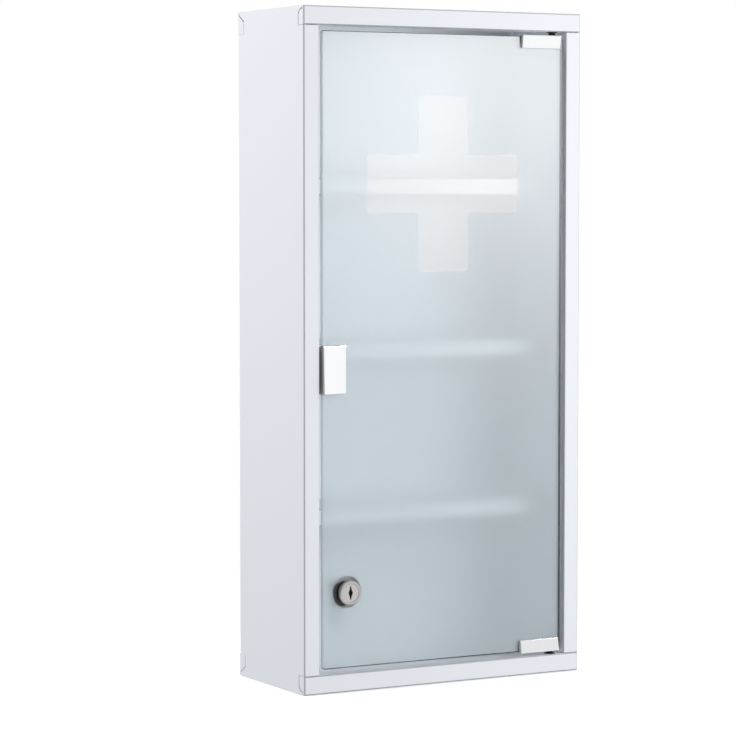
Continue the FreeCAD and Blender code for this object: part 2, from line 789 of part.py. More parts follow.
def catch_housing():
    """The catch's plastic housing on the left return lip, with a pocket for the magnet."""
    body = new_body("catch_housing")
    block = new_sketch(body, "block", "XY_Plane", handle_z)
    rectangle(block, -stile_edge, catch_front, catch_edge, catch_front + s.catch_depth)
    pad(body, block, s.catch_height)
    nose = straight_edges(body, "z", x=catch_edge, y=catch_front)
    nose += straight_edges(body, "z", x=catch_edge, y=catch_front + s.catch_depth)
    soften(body, "Fillet", nose, s.clamp_round)
    pocket_sketch = new_sketch(body, "magnet_seat", "XY_Plane", handle_z)
    half = s.magnet_width / 2 + s.pole_plate
    rectangle(pocket_sketch, magnet_middle() - half, catch_front - s.pole_proud,
              magnet_middle() + half, catch_front + s.magnet_depth)
    pocket(body, pocket_sketch, s.magnet_height)
    pilots = new_sketch(body, "screw_pilots", "YZ_Plane", s.catch_screw_bite / 2 - stile_edge)
    for end in (-1, 1):
        circle(pilots, catch_screw_y, handle_z + s.catch_screw_spacing / 2 * end,
               s.catch_screw_diameter + s.fixing_gap * 2)
    pocket(body, pilots, s.catch_screw_bite)
    return body


def magnet_middle():
    """Middle of the catch's magnet across the housing."""
    return s.catch_width / 2 - stile_edge


def catch_magnet():
    """The catch's magnet."""
    body = new_body("catch_magnet")
    block = new_sketch(body, "block", "XY_Plane", handle_z)
    half = s.magnet_width / 2
    rectangle(block, magnet_middle() - half, catch_front, magnet_middle() + half, catch_front + s.magnet_depth)
    pad(body, block, s.magnet_height)
    return body


def catch_pole_plates():
    """Two steel plates beside the magnet, which stand a little in front of the housing."""
    plates = []
    half = s.magnet_width / 2
    for name, low in (("left", magnet_middle() - half - s.pole_plate), ("right", magnet_middle() + half)):
        plate = doc.addObject("Part::Box", f"pole_plate_{name}")
        bind(plate, "Length", s.pole_plate)
        bind(plate, "Width", s.magnet_depth + s.pole_proud)
        bind(plate, "Height", s.magnet_height)
        place(plate, low, catch_front - s.pole_proud, handle_z - s.magnet_height / 2)
        plates.append(plate)
    return group("catch_pole_plates", plates)


def catch_screws():
    """Two screws through the return lip into the catch's housing, heads inside the hollow stile."""
    screws = []
    for name, end in (("low", -1), ("high", 1)):
        z = handle_z + s.catch_screw_spacing / 2 * end
        shank = doc.addObject("Part::Cylinder", f"catch_screw_{name}_shank")
        bind(shank, "Radius", s.catch_screw_diameter / 2)
        bind(shank, "Height", s.catch_screw_bite + s.sheet)
        shank.Placement.Rotation = TURN_Z_TO_X
        place(shank, -stile_edge - s.sheet, catch_screw_y, z)
        head = doc.addObject("Part::Cylinder", f"catch_screw_{name}_head")
        bind(head, "Radius", s.catch_screw_head / 2)
        bind(head, "Height", s.catch_screw_head_height)
        head.Placement.Rotation = TURN_Z_TO_X
        place(head, -stile_edge - s.sheet - s.catch_screw_head_height, catch_screw_y, z)
        screw = doc.addObject("Part::Fuse", f"catch_screw_{name}")
        screw.Base = shank
        screw.Tool = head
        screws.append(screw)
    return group("catch_screws", screws)


def lock_body(label):
    """A sub-part on the lock's axis, with its own origin where the axis meets the front of the glass."""
    body = new_body(label)
    place(body, lock_x, glass_front, lock_z)
    return body


def lock_housing():
    """The lock's head and barrel: a bevelled head with a dished face, bored for the turning core."""
    body = lock_body("lock_housing")
    profile = new_sketch(body, "profile", "XY_Plane")
    head = s.lock_head / 2
    barrel = s.lock_barrel / 2
    bore = s.plug_diameter / 2 + s.running_gap
    seat = s.plug_head / 2 + s.running_gap
    face = -s.lock_head_height
    outline(profile, [
        (bore, barrel_end),
        (barrel, barrel_end),
        (barrel, -s.lock_gasket),
        (head, -s.lock_gasket),
        (head, face + s.lock_head_bevel),
        (head - s.lock_head_bevel, face),
        (head - s.lock_head_bevel - s.lock_rim, face),
        (head - s.lock_head_bevel - s.lock_rim - s.lock_dish, face + s.lock_dish),
        (seat, face + s.lock_dish),
        (seat, face_seat),
        (bore, face_seat),
    ])
    revolve(body, profile)
    flat_length = barrel_end - s.glass_thickness
    flats = new_sketch(body, "flats", "XZ_Plane", flat_length / -2 - s.glass_thickness)
    for side in (-1, 1):
        rectangle(flats, s.lock_flats / 2 * side, -s.lock_barrel, s.lock_barrel * side, s.lock_barrel)
    pocket(body, flats, flat_length)
    return body


def lock_ring(label, outer, low, high):
    """A flat ring round the lock's barrel."""
    body = lock_body(label)
    profile = new_sketch(body, "profile", "XY_Plane")
    rectangle(profile, s.lock_barrel / 2 + s.fixing_gap, low, outer / 2, high)
    revolve(body, profile)
    return body


def lock_nut():
    """The hexagon nut that draws the lock's head against the glass."""
    body = lock_body("lock_nut")
    plan = new_sketch(body, "plan", "XZ_Plane", s.lock_nut / -2 - s.glass_thickness - s.lock_washer)
    hexagon(plan, s.lock_nut_flats)
    circle(plan, 0, 0, s.lock_barrel + s.fixing_gap * 2)
    pad(body, plan, s.lock_nut)
    return body


def lock_plug():
    """The turning core: a face in the lock's head, a round body, a square tail and the keyway."""
    body = lock_body("lock_plug")
    profile = new_sketch(body, "profile", "XY_Plane")
    core = s.plug_diameter / 2
    face = s.lock_dish - s.lock_head_height
    outline(profile, [
        (0, face),
        (s.plug_head / 2, face),
        (s.plug_head / 2, face_seat - s.running_gap),
        (core, face_seat - s.running_gap),
        (core, cam_front),
        (0, cam_front),
    ])
    revolve(body, profile)
    tail = new_sketch(body, "tail", "XZ_Plane", -cam_front)
    half = s.plug_tail / 2
    rectangle(tail, -half, -half, half, half)
    pad(body, tail, (s.cam_thickness - s.running_gap) * 2)

    bite = new_sketch(body, "screw_hole", "XZ_Plane", -cam_back)
    circle(bite, 0, 0, s.cam_screw + s.fixing_gap * 2)
    pocket(body, bite, s.cam_screw_bite * 2)

    keyway = new_sketch(body, "keyway", "XZ_Plane", -face)
    end = s.key_slot_height / 2
    narrow = s.key_slot_width / 2
    wide = s.key_slot_waist / 2
    taper = s.key_slot_taper / 2
    outline(keyway, [
        (-narrow, end),
        (narrow, end),
        (narrow, taper),
        (wide, 0),
        (narrow, -taper),
        (narrow, -end),
        (-narrow, -end),
        (-narrow, -taper),
        (-wide, 0),
        (-narrow, taper),
    ])
    pocket(body, keyway, s.key_slot_depth * 2)
    return body


def lock_cam():
    """The cam: a flat arm that hangs down when the lock is open and turns behind the return lip."""
    body = lock_body("lock_cam")
    middle = s.cam_thickness / -2 - cam_front
    arm = new_sketch(body, "arm", "XZ_Plane", middle)
    rectangle(arm, s.cam_width / -2, -s.cam_length, s.cam_width / 2, 0)
    pad(body, arm, s.cam_thickness)
    tip = straight_edges(body, "y", x=s.cam_width / 2, z=-s.cam_length)
    tip += straight_edges(body, "y", x=s.cam_width / -2, z=-s.cam_length)
    soften(body, "Fillet", tip, s.cam_tip_round)
    boss = new_sketch(body, "boss", "XZ_Plane", middle)
    circle(boss, 0, 0, s.cam_boss)
    pad(body, boss, s.cam_thickness)
    hole = new_sketch(body, "square_hole", "XZ_Plane", middle)
    half = s.plug_tail / 2 + s.fixing_gap
    rectangle(hole, -half, -half, half, half)
    pocket(body, hole, s.cam_thickness * 2)
    return body


def cam_washer():
    """The washer between the cam and its screw."""
    body = lock_body("cam_washer")
    profile = new_sketch(body, "profile", "XY_Plane")
    rectangle(profile, s.cam_screw / 2 + s.fixing_gap, cam_back, s.cam_washer_diameter / 2,
              cam_back + s.cam_washer)
    revolve(body, profile)
    return body


def cam_screw():
    """The hexagon-headed screw that holds the cam on the core's tail."""
    body = lock_body("cam_screw")
    seat = cam_back + s.cam_washer
    head = new_sketch(body, "head", "XZ_Plane", s.cam_screw_head_height / -2 - seat)
    hexagon(head, s.cam_screw_head)
    pad(body, head, s.cam_screw_head_height)
    shank = new_sketch(body, "shank", "XZ_Plane", -seat)
    circle(shank, 0, 0, s.cam_screw)
    pad(body, shank, s.cam_washer + s.cam_screw_bite, symmetric=False)
    return body


def build():
    """Make every sub-part."""
    left = side_panel("left_side_panel", -1)
    drill_catch_holes(left)
    side_panel("right_side_panel", 1)
    mirrored(top_panel(), "bottom_panel", AXIS["z"])
    back_panel()
    level = half_height - s.sheet - s.shelf_drop
    for label in ("upper_shelf", "middle_shelf", "lower_shelf"):
        shelf(label, level)
        level = level - s.shelf_pitch
    mirrored(pivot_bush(), "bottom_pivot_bush", AXIS["z"])
    catch_housing()
    catch_magnet()
    catch_pole_plates()
    catch_screws()

    door_glass()
    mirrored(hinge_clamp(), "bottom_hinge_clamp", AXIS["z"])
    mirrored(hinge_liner(), "bottom_hinge_liner", AXIS["z"])
    mirrored(pivot_pin(), "bottom_pivot_pin", AXIS["z"])
    hinge_screws = []
    for x, z in clamp_grub_places():
        for end in (1, -1):
            hinge_screws.append(grub_screw(f"hinge_grub_{len(hinge_screws) + 1}", x, slot_back, z * end))
    group("hinge_grub_screws", hinge_screws)
    handle_clip()
    handle_liner()
    group("handle_grub_screws", [grub_screw(f"handle_grub_{number}", x, slot_back, z)
                                 for number, (x, z) in enumerate(handle_grub_places(), start=1)])

    lock_housing()
    lock_ring("lock_gasket", s.lock_head, -s.lock_gasket, zero)
    lock_ring("lock_washer", s.lock_washer_diameter, s.glass_thickness, s.glass_thickness + s.lock_washer)
    lock_nut()
    lock_plug()
    lock_cam()
    cam_washer()
    cam_screw()


def check():
    """Stop if an object failed or a sub-part isn't a sound shape."""
    for item in doc.Objects:
        if "Invalid" in item.State or "Error" in item.State:
            raise RuntimeError(f"{item.Label} failed: {item.State}")
    for part in parts:
        if part.Shape.isNull() or not part.Shape.isValid() or not part.Shape.Solids:
            raise RuntimeError(f"{part.Label} is not a sound solid")


def write():
    """Write each sub-part under its own name."""
    os.makedirs("parts", exist_ok=True)
    for part in parts:
        part.Shape.exportStep(f"parts/{part.Label}.step")
        print(part.Label, len(part.Shape.Solids), round(part.Shape.Volume, 1))


build()
doc.recompute()
check()
write()
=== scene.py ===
"""Looks of a wall-hung medicine cabinet: white powder-coated steel, a frosted glass door with a finer cross,
bright chrome clamps and handle, and a nickel cam lock, on a plain pale studio floor."""
import math

import bpy
from bpy.props import FloatProperty, FloatVectorProperty, PointerProperty
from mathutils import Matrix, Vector


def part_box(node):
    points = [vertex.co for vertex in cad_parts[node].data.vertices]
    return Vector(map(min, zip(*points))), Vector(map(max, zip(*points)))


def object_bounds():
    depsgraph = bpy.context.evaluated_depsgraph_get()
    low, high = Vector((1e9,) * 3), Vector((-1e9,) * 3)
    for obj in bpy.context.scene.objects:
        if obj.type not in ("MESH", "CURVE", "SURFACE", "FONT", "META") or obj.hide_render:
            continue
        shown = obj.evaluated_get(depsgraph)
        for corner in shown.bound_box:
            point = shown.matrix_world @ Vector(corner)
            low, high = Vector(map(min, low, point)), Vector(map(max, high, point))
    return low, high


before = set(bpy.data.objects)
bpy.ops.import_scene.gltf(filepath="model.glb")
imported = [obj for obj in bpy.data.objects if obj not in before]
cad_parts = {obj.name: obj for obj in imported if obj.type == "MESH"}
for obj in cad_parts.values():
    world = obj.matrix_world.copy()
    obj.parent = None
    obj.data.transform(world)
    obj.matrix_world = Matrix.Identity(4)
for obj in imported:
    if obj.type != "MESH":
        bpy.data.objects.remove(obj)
CAD_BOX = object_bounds()

bl_info = {
    "name": "Medicine Cabinet Looks",
    "version": (1, 0, 0),
    "blender": (4, 5, 0),
    "location": "3D View > Sidebar > Cabinet",
    "description": "Materials and studio for a wall-hung medicine cabinet",
    "category": "Material",
}

MM = 0.001

# Roughness of the plain finishes.
POLISHED = 0.06
SAWN = 0.42
SATIN = 0.36
PLATED = 0.35
GROUND = 0.4
MOULDED = 0.45
EXTRUDED = 0.5
SINTERED = 0.6
RUBBERY = 0.7

# How squarely a face looks along one of its piece's axes: 1 is straight along it.
FOLD_TO_FLAT = (0.9, 0.99)
CUT_END = 0.7
GLASS_FACE = 0.9

# How finely the powder coat's ripple is broken up.
PEEL_DETAIL = 2.0

# Ways from the cabinet, as parts of a unit length, over which the studio's light changes.
BELOW_TO_ABOVE = (-0.5, 0.5)
LEFT_TO_MIDDLE = (-0.7, -0.1)
LEVEL_TO_ABOVE = (0.0, 0.15)
BESIDE_TO_DARK = (0.0, 0.9)
DARK_SIDE = (-0.55, -0.83, 0.0)

# Each square lamp's place from the cabinet's middle and the length of its edges, in metres.
LAMPS = {
    "key_light": ((0.45, -1.65, 0.12), 0.7),
    "near_light": ((0.5, -0.75, 0.27), 0.35),
    "fill_light": ((-1.6, 0.3, 0.9), 0.8),
    "bright_card": ((2.44, -2.42, 1.05), 0.9),
    "sheen_light": ((1.85, -3.0, 0.4), 0.5),
}
CABINET_FRONT = (0.0, -0.06, 0.0)
GLASS_SPOT = (0.0, -0.12, 0.1)

# The floor lies just clear of the cabinet, and this share of its reach doesn't fade.
FLOOR_GAP = 0.5 * MM
FLOOR_FULL = 0.25

CAMERA_PLACE = (-1.2492, -2.2294, 0.1367)
CAMERA_TILT = math.radians(86.423)
CAMERA_TURN = math.radians(-29.109)
CAMERA_SENSOR = 36.0


def linear(hex_colour):
    """A colour written as sRGB hex digits, as linear red, green and blue."""
    channels = [int(hex_colour[start:start + 2], 16) / 255 for start in (1, 3, 5)]
    return tuple(value / 12.92 if value <= 0.04045 else ((value + 0.055) / 1.055) ** 2.4
                 for value in channels)


def colour_setting(name, description, hex_colour):
    """A colour that a user can change."""
    return FloatVectorProperty(name=name, description=description, subtype="COLOR", size=3, min=0.0, max=1.0,
                               default=linear(hex_colour))


def length_setting(name, description, millimetres):
    """A length that a user can change."""
    return FloatProperty(name=name, description=description, unit="LENGTH", subtype="DISTANCE", min=0.0,
                         default=millimetres * MM)


def share_setting(name, description, share):
    """A share from none to all that a user can change."""
    return FloatProperty(name=name, description=description, subtype="FACTOR", min=0.0, max=1.0,
                         default=share)


def index_setting(name, description, index):
    """A refractive index that a user can change."""
    return FloatProperty(name=name, description=description, min=1.0, default=index)


def power_setting(name, description, watts):
    """A lamp's power that a user can change."""
    return FloatProperty(name=name, description=description, unit="POWER", min=0.0, default=watts)


class CabinetPaint(bpy.types.PropertyGroup):
    """Colour and finish of the steel case and shelves."""
    white: colour_setting("White", "Colour of the powder coat", "#EEF0F4")
    # Painted shade: the grey along the folds stands in for the shade on the rounded bends.
    fold: colour_setting("Fold", "Colour of the powder coat where it is thin along a fold", "#B4B8BE")
    roughness: share_setting("Roughness", "How matt the powder coat is", 0.5)
    shine: share_setting("Shine", "How strongly the powder coat mirrors", 0.25)
    peel: length_setting("Orange peel", "Spacing of the powder coat's ripple", 1.6)
    peel_height: length_setting("Peel height", "Height of the powder coat's ripple", 0.006)


class CabinetGlass(bpy.types.PropertyGroup):
    """The frosted door and its finer cross."""
    frost: colour_setting("Frost", "Colour of the etched inner face", "#C5CED2")
    tint: colour_setting("Tint", "Colour of the clear glass", "#FDFEFE")
    shade: colour_setting("Shade", "Colour of the light that falls through the glass", "#FEFFFF")
    # Painted shade: both edge colours are dark to stand in for the shade in the gap round the glass.
    edge: colour_setting("Edge", "Colour of the ground edges from outside", "#56646A")
    edge_clarity: share_setting("Edge clarity", "Share of a ground edge that one can look into", 0.85)
    depth: colour_setting("Depth", "Colour of the ground edges through the glass", "#1E272C")
    clarity: share_setting("Clarity", "Share of the frost that lets shapes behind it show", 0.5)
    blur: share_setting("Blur", "How much the frost blurs what lies behind it", 0.5)
    glow: share_setting("Glow", "Share of the etched faces' light that comes from behind", 0.3)
    bend: index_setting("Bend", "Refractive index at which the glass bends light", 1.3)
    mirror: index_setting("Mirror", "Refractive index at which the polished face mirrors", 1.52)
    gloss: share_setting("Gloss", "How much the polished face blurs what it mirrors", 0.29)
    veil: colour_setting("Veil", "Colour of the fine etching inside the cross", "#B8BBBD")
    veil_share: share_setting("Veil share", "How much the fine etching hides what lies behind it", 0.72)
    cross_reach: length_setting("Cross", "Size of the cross from end to end", 148)
    cross_arm: length_setting("Arm", "Width of the cross's arms", 49)
    cross_corner: length_setting("Corner", "Rounding of the cross's outer corners", 5)
    cross_height: length_setting("Height", "Middle of the cross above the middle of the cabinet", 139)


class CabinetMetal(bpy.types.PropertyGroup):
    """The bright and satin metal pieces."""
    chrome: colour_setting("Chrome", "Colour of the polished chrome", "#F8F9FA")
    # Painted shade: the cut ends are coloured darker than the chrome to stand in for the dark that these
    # sides mirror.
    cut_end_shade: colour_setting("Cut end", "Colour of the chrome pieces' cut ends", "#D6D3D0")
    nickel: colour_setting("Nickel", "Colour of the lock's satin nickel", "#A8A6A4")
    zinc: colour_setting("Zinc", "Colour of zinc-plated fasteners", "#BFC3C6")
    # Painted shade: the pins are near-black to stand in for the shade in the gap round the pivots.
    black: colour_setting("Black", "Colour of the blackened pivot pins", "#2A2B2E")


class CabinetTrim(bpy.types.PropertyGroup):
    """The small plastic, rubber and ceramic pieces."""
    # Painted shade: the bushes are black to stand in for the shade in the gap round the pivots.
    bush: colour_setting("Bush", "Colour of the pivot bushes", "#1D1E20")
    liner: colour_setting("Liner", "Colour of the liners between clamps and glass", "#B9C0C4")
    catch: colour_setting("Catch", "Colour of the catch's housing", "#E4E4E0")
    magnet: colour_setting("Magnet", "Colour of the catch's magnet", "#3A3B3E")
    gasket: colour_setting("Gasket", "Colour of the lock's gasket", "#1C1D1E")


class CabinetStage(bpy.types.PropertyGroup):
    """The studio: light, floor and camera."""
    floor: colour_setting("Floor", "Colour of the floor", "#FFFFFF")
    floor_reach: length_setting("Floor reach", "Distance at which the floor has faded away", 500)
    floor_glow: share_setting("Floor glow", "Light from below through the floor", 0.25)
    background: colour_setting("Background", "Colour behind the cabinet", "#FFFFFF")
    ambient: colour_setting("Ambient", "Colour of the light from all round", "#F4F6FA")
    ambient_level: share_setting("Ambient level", "Strength of the light from all round", 0.82)
    ambient_below: share_setting("From below", "Light from below, beside that from above", 0.58)
    ambient_dark: share_setting("Dark side", "Light from the left in front, beside the rest", 0.48)
    mirror_left: share_setting("Mirrored left", "Brightness that shiny pieces mirror at the left", 0.5)
    mirror_above: share_setting("Mirrored above", "Brightness that shiny pieces mirror above", 0.75)
    key_power: power_setting("Key light", "Power of the soft light at the right", 12.4)
    near_power: power_setting("Near light", "Power of the small light near the upper right", 1.3)
    fill_power: power_setting("Fill light", "Power of the soft light at the left", 17.2)
    card_power: power_setting("Bright card", "Power of the card that shiny pieces mirror", 170.0)
    sheen: colour_setting("Sheen", "Colour of the light that the glass mirrors", "#FFF9F8")
    sheen_power: power_setting("Sheen light", "Power of the light that the glass mirrors", 31.0)
    lens: FloatProperty(name="Lens", description="Focal length of the camera", unit="CAMERA", min=1.0,
                        default=141.96)


def add_node(tree, kind, inputs=(), **settings):
    """Add a node with its settings, and set or link its inputs; a node there gives its first output."""
    node = tree.nodes.new(kind)
    for name, value in settings.items():
        setattr(node, name, value)
    pairs = inputs.items() if isinstance(inputs, dict) else enumerate(inputs)
    for key, value in pairs:
        if isinstance(value, bpy.types.Node):
            value = value.outputs[0]
        if isinstance(value, bpy.types.NodeSocket):
            tree.links.new(value, node.inputs[key])
        else:
            node.inputs[key].default_value = value
    return node


def rgba(colour):
    """A colour with full cover."""
    return (*colour[:3], 1.0)


def new_material(name):
    """An empty node material and its tree."""
    material = bpy.data.materials.new(name)
    material.use_nodes = True
    material.node_tree.nodes.clear()
    return material, material.node_tree


def plain_material(name, colour, roughness, metallic=0.0):
    """A material of one colour and finish all over."""
    material, tree = new_material(name)
    surface = {"Base Color": rgba(colour), "Roughness": roughness, "Metallic": metallic}
    add_node(tree, "ShaderNodeOutputMaterial", (add_node(tree, "ShaderNodeBsdfPrincipled", surface),))
    return material


def own_facing(tree):
    """How squarely a surface faces along its piece's X, Y and Z."""
    normal = add_node(tree, "ShaderNodeTexCoord").outputs["Normal"]
    along = add_node(tree, "ShaderNodeSeparateXYZ", (normal,))
    return [add_node(tree, "ShaderNodeMath", (share,), operation="ABSOLUTE") for share in along.outputs]


def powder_coat(paint):
    """Polyester powder, sprayed and baked on folded sheet steel: a clean half-matt white with a faint orange
    peel, and a grey line of painted shade along the folds."""
    material, tree = new_material("White powder coat")
    across, deep, up = own_facing(tree)
    level = add_node(tree, "ShaderNodeMath", (across, deep), operation="MAXIMUM")
    squareness = add_node(tree, "ShaderNodeMath", (level, up), operation="MAXIMUM")
    # Off the flat faces, on the rounded folds, the white turns grey as painted shade.
    flat = add_node(tree, "ShaderNodeMapRange", (squareness, *FOLD_TO_FLAT))
    place = add_node(tree, "ShaderNodeTexCoord").outputs["Object"]
    peel = add_node(tree, "ShaderNodeTexNoise",
                    {"Vector": place, "Scale": 1 / paint.peel, "Detail": PEEL_DETAIL})
    coat = add_node(tree, "ShaderNodeBsdfPrincipled", {
        "Base Color": add_node(tree, "ShaderNodeMixRGB", (flat, rgba(paint.fold), rgba(paint.white))),
        "Roughness": paint.roughness,
        "Specular IOR Level": paint.shine,
        "Normal": add_node(tree, "ShaderNodeBump", {"Height": peel, "Distance": paint.peel_height}),
    })
    add_node(tree, "ShaderNodeOutputMaterial", (coat,))
    return material


def chrome_plate(metal):
    """Chrome plate on a polished profile: its faces mirror the studio, its sawn ends are dull and coloured
    darker as painted shade.
    """
    material, tree = new_material("Polished chrome")
    is_end = add_node(tree, "ShaderNodeMath", (own_facing(tree)[0], CUT_END), operation="GREATER_THAN")
    roughness = add_node(tree, "ShaderNodeMath", (is_end, SAWN - POLISHED, POLISHED),
                         operation="MULTIPLY_ADD")
    # The cut ends are dull, and coloured darker as painted shade.
    plate = add_node(tree, "ShaderNodeBsdfPrincipled", {
        "Base Color": add_node(tree, "ShaderNodeMixRGB", (is_end, rgba(metal.chrome), rgba(metal.cut_end_shade))),
        "Metallic": 1.0,
        "Roughness": roughness,
    })
    add_node(tree, "ShaderNodeOutputMaterial", (plate,))
    return material


def nickel_plate(metal):
    """Nickel plate on brushed brass: a warm grey metal with a soft, blurred shine."""
    return plain_material("Satin nickel", metal.nickel, SATIN, metallic=1.0)


def zinc_plate(metal):
    """Zinc plate on stamped and turned steel: pale, with a soft shine."""
    return plain_material("Bright zinc", metal.zinc, PLATED, metallic=1.0)


def soft_vinyl(trim):
    """Extruded soft vinyl: an even pale grey, half matt."""
    return plain_material("Soft grey vinyl", trim.liner, EXTRUDED)


def cross_mask(tree, place, glass):
    """One inside the cross and nothing outside it."""
    across = add_node(tree, "ShaderNodeMath", (place.outputs["X"],), operation="ABSOLUTE")
    above = add_node(tree, "ShaderNodeMath", (place.outputs["Z"], glass.cross_height), operation="SUBTRACT")
    up = add_node(tree, "ShaderNodeMath", (above,), operation="ABSOLUTE")
    reach = glass.cross_reach / 2
    arm = glass.cross_arm / 2
    bars = []
    for half_across, half_up in ((arm, reach), (reach, arm)):
        beside = add_node(tree, "ShaderNodeMath", (across, half_across), operation="SUBTRACT")
        beyond = add_node(tree, "ShaderNodeMath", (up, half_up), operation="SUBTRACT")
        outside = (beside, beyond, glass.cross_corner)
        bars.append(add_node(tree, "ShaderNodeMath", outside, operation="SMOOTH_MAX"))
    nearer = add_node(tree, "ShaderNodeMath", bars, operation="MINIMUM")
    return add_node(tree, "ShaderNodeMath", (nearer, 0.0), operation="LESS_THAN")


def etched_face(tree, colour, glow):
    """An acid-etched face: milky, and lit from both sides."""
    lit = add_node(tree, "ShaderNodeBsdfDiffuse", {"Color": rgba(colour)})
    from_behind = add_node(tree, "ShaderNodeBsdfTranslucent", {"Color": rgba(colour)})
    return add_node(tree, "ShaderNodeMixShader", (glow, lit, from_behind))


def glass_faces(tree, glass, is_inner, in_cross):
    """The door's polished front and its etched inner face, finer inside the cross."""
    clear = add_node(tree, "ShaderNodeBsdfRefraction",
                     {"Color": rgba(glass.tint), "Roughness": 0.0, "IOR": glass.bend})
    gloss = add_node(tree, "ShaderNodeBsdfGlossy",
                     {"Color": rgba(linear("#FFFFFF")), "Roughness": glass.gloss})
    fresnel = add_node(tree, "ShaderNodeFresnel", {"IOR": glass.mirror})
    polished = add_node(tree, "ShaderNodeMixShader", (fresnel, clear, gloss))
    blurred = add_node(tree, "ShaderNodeBsdfRefraction",
                       {"Color": rgba(glass.frost), "Roughness": glass.blur, "IOR": glass.bend})
    frost = etched_face(tree, glass.frost, glass.glow)
    etched = add_node(tree, "ShaderNodeMixShader", (glass.clarity, frost, blurred))
    veil = etched_face(tree, glass.veil, glass.glow)
    veiled = add_node(tree, "ShaderNodeMixShader", (glass.veil_share, clear, veil))
    inner = add_node(tree, "ShaderNodeMixShader", (in_cross, etched, veiled))
    return add_node(tree, "ShaderNodeMixShader", (is_inner, polished, inner))


def frosted_glass(glass):
    """Toughened glass with one etched face and ground edges: shapes behind the frost blur into pale bands,
    those behind the cross stay sharp, and the ground edges, which one can mostly look into from outside, are
    coloured dark as painted shade of the gap round the glass, darkest within."""
    material, tree = new_material("Frosted glass")
    low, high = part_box("door_glass")
    middle = (low[1] + high[1]) / 2
    coordinates = add_node(tree, "ShaderNodeTexCoord").outputs["Object"]
    place = add_node(tree, "ShaderNodeSeparateXYZ", (coordinates,))
    is_inner = add_node(tree, "ShaderNodeMath", (place.outputs["Y"], middle), operation="GREATER_THAN")
    solid = glass_faces(tree, glass, is_inner, cross_mask(tree, place, glass))
    shade = add_node(tree, "ShaderNodeBsdfTransparent", {"Color": rgba(glass.shade)})
    rays = add_node(tree, "ShaderNodeLightPath").outputs
    lets_light_in = add_node(tree, "ShaderNodeMath", (rays["Is Shadow Ray"], rays["Is Diffuse Ray"]),
                             operation="MAXIMUM")
    faces = add_node(tree, "ShaderNodeMixShader", (lets_light_in, solid, shade))

    within = add_node(tree, "ShaderNodeNewGeometry").outputs["Backfacing"]
    # The ground edges are coloured dark as painted shade: grey outside, nearly black seen through the glass.
    ground = add_node(tree, "ShaderNodeBsdfPrincipled", {
        "Base Color": add_node(tree, "ShaderNodeMixRGB", (within, rgba(glass.edge), rgba(glass.depth))),
        "Roughness": GROUND,
    })
    outside = add_node(tree, "ShaderNodeMath", (rays["Is Camera Ray"], within), operation="SUBTRACT",
                       use_clamp=True)
    looked_into = add_node(tree, "ShaderNodeMath", (outside, glass.edge_clarity), operation="MULTIPLY")
    edges = add_node(tree, "ShaderNodeMixShader", (looked_into, ground, shade))
    is_edge = add_node(tree, "ShaderNodeMath", (own_facing(tree)[1], GLASS_FACE), operation="LESS_THAN")
    door = add_node(tree, "ShaderNodeMixShader", (is_edge, faces, edges))
    add_node(tree, "ShaderNodeOutputMaterial", (door,))
    return material


def dress(material, *names):
    """Give CAD nodes a material."""
    for name in names:
        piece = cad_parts[name]
        if not piece.material_slots:
            raise RuntimeError(f"{name} has no material slot")
        for slot in piece.material_slots:
            slot.material = material


class CABINET_OT_case(bpy.types.Operator):
    """Powder-coat the case: sides, top, bottom and back"""
    bl_idname = "cabinet.case"
    bl_label = "Case"

    def execute(self, context):
        coat = powder_coat(context.scene.cabinet_paint)
        dress(coat, "left_side_panel", "right_side_panel", "top_panel", "bottom_panel", "back_panel")
        return {"FINISHED"}


class CABINET_OT_shelves(bpy.types.Operator):
    """Powder-coat the shelves"""
    bl_idname = "cabinet.shelves"
    bl_label = "Shelves"

    def execute(self, context):
        dress(powder_coat(context.scene.cabinet_paint), "upper_shelf", "middle_shelf", "lower_shelf")
        return {"FINISHED"}


class CABINET_OT_glass(bpy.types.Operator):
    """Frost the glass door round its finer cross"""
    bl_idname = "cabinet.glass"
    bl_label = "Glass door"

    def execute(self, context):
        dress(frosted_glass(context.scene.cabinet_glass), "door_glass")
        return {"FINISHED"}


class CABINET_OT_hinges(bpy.types.Operator):
    """Finish the pivot clamps with their pins, bushes, liners and screws"""
    bl_idname = "cabinet.hinges"
    bl_label = "Hinges"

    def execute(self, context):
        metal = context.scene.cabinet_metal
        trim = context.scene.cabinet_trim
        dress(chrome_plate(metal), "top_hinge_clamp", "bottom_hinge_clamp")
        dress(zinc_plate(metal), "hinge_grub_screws")
        # Turned steel with a soft shine, coloured near-black as painted shade of the gap round the pivot.
        pin_steel = plain_material("Pivot steel in painted shade", metal.black, PLATED, metallic=1.0)
        dress(pin_steel, "top_pivot_pin", "bottom_pivot_pin")
        # Moulded: even and half matt, coloured black as painted shade of the gap round the pivot.
        dress(plain_material("Pivot nylon in painted shade", trim.bush, MOULDED), "top_pivot_bush", "bottom_pivot_bush")
        dress(soft_vinyl(trim), "top_hinge_liner", "bottom_hinge_liner")
        return {"FINISHED"}


class CABINET_OT_handle(bpy.types.Operator):
    """Finish the clip handle with its liner and screws"""
    bl_idname = "cabinet.handle"
    bl_label = "Handle"

    def execute(self, context):
        metal = context.scene.cabinet_metal
        dress(chrome_plate(metal), "handle_clip")
        dress(zinc_plate(metal), "handle_grub_screws")
        dress(soft_vinyl(context.scene.cabinet_trim), "handle_liner")
        return {"FINISHED"}


